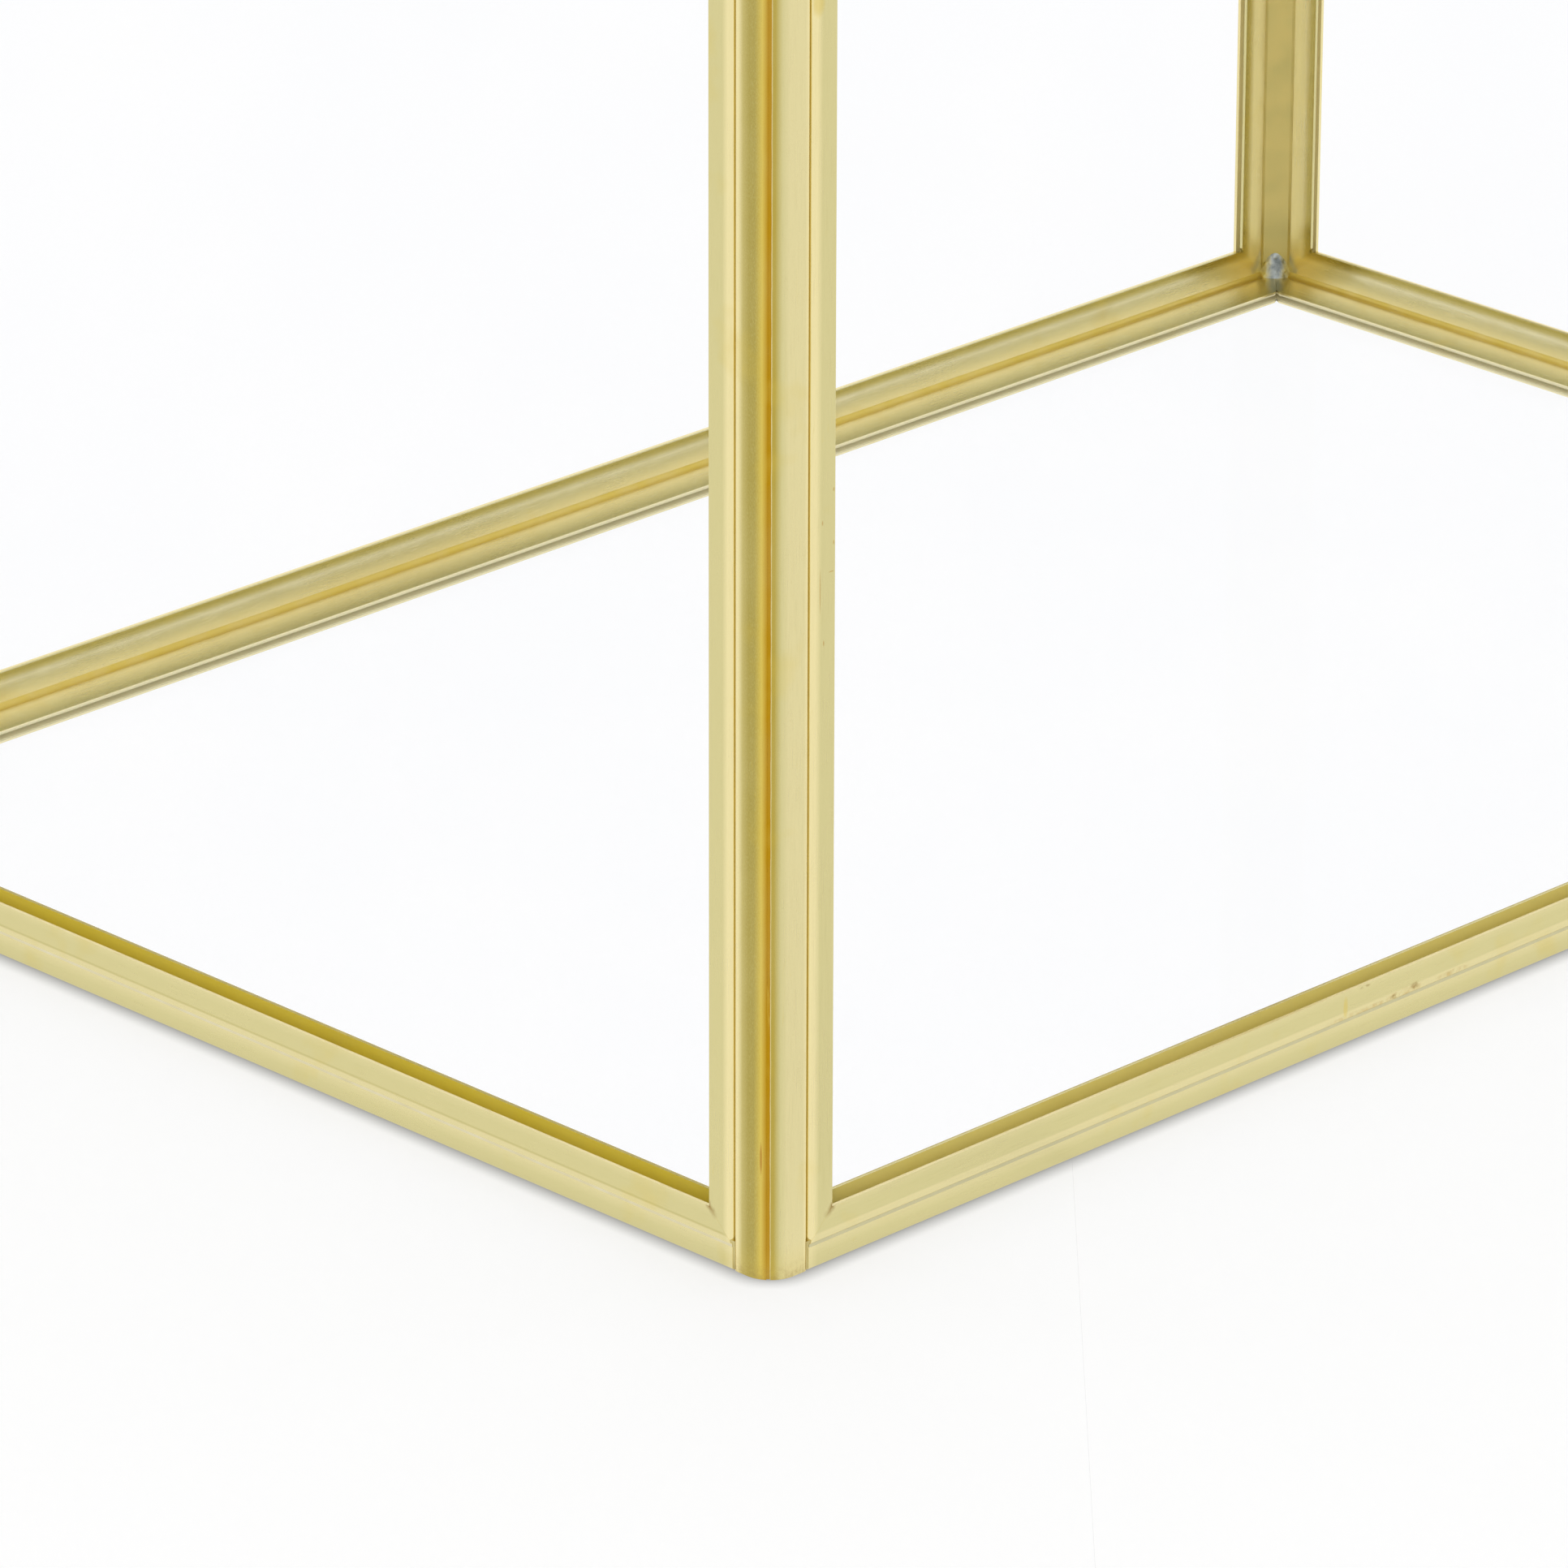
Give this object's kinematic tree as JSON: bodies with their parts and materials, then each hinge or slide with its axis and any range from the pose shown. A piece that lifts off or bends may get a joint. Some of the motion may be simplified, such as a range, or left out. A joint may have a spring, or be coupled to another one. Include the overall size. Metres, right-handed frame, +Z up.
{
  "type": "glass card box",
  "caption": "Clear glass box in a folded brass frame that stands on its base, with a hinged glass lid whose long slot takes greeting cards",
  "frame": {"origin": "middle of the footprint, on the floor", "axes": "X along the long side, Y from the front to the hinged back, Z up"},
  "size_m": [0.25, 0.1748, 0.2006],
  "materials": {
    "brass": "polished",
    "glass": "clear",
    "solder": "dull"
  },
  "bodies": {
    "box": {"back_channel_bottom": "brass", "back_channel_top": "brass", "back_channel_upright_a": "brass", "back_channel_upright_b": "brass", "back_glass": "glass", "base_glass": "glass", "base_rail_back": "brass", "base_rail_front": "brass", "base_rail_left": "brass", "base_rail_right": "brass", "base_solder": "solder", "corner_post_back_left": "brass", "corner_post_back_right": "brass", "corner_post_front_left": "brass", "corner_post_front_right": "brass", "front_channel_bottom": "brass", "front_channel_top": "brass", "front_channel_upright_a": "brass", "front_channel_upright_b": "brass", "front_glass": "glass", "hinge_left_box_leaf": "brass", "hinge_left_pin": "brass", "hinge_right_box_leaf": "brass", "hinge_right_pin": "brass", "left_channel_bottom": "brass", "left_channel_top": "brass", "left_channel_upright_a": "brass", "left_channel_upright_b": "brass", "left_glass": "glass", "right_channel_bottom": "brass", "right_channel_top": "brass", "right_channel_upright_a": "brass", "right_channel_upright_b": "brass", "right_glass": "glass"},
    "lid": {"hinge_left_lid_leaf": "brass", "hinge_right_lid_leaf": "brass", "lid_glass_back": "glass", "lid_glass_front": "glass", "lid_rail_back": "brass", "lid_rail_front": "brass", "lid_rail_left": "brass", "lid_rail_right": "brass", "lid_tab": "brass", "slot_bar_back": "brass", "slot_bar_front": "brass", "slot_end_left": "brass", "slot_end_right": "brass"}
  },
  "joints": [
    {"name": "lid_hinge", "type": "hinge", "parent": "box", "child": "lid", "pos_m": [0, 0.0843, 0.19805], "axis": [-1, 0, 0], "range_deg": [0, 110]}
  ]
}
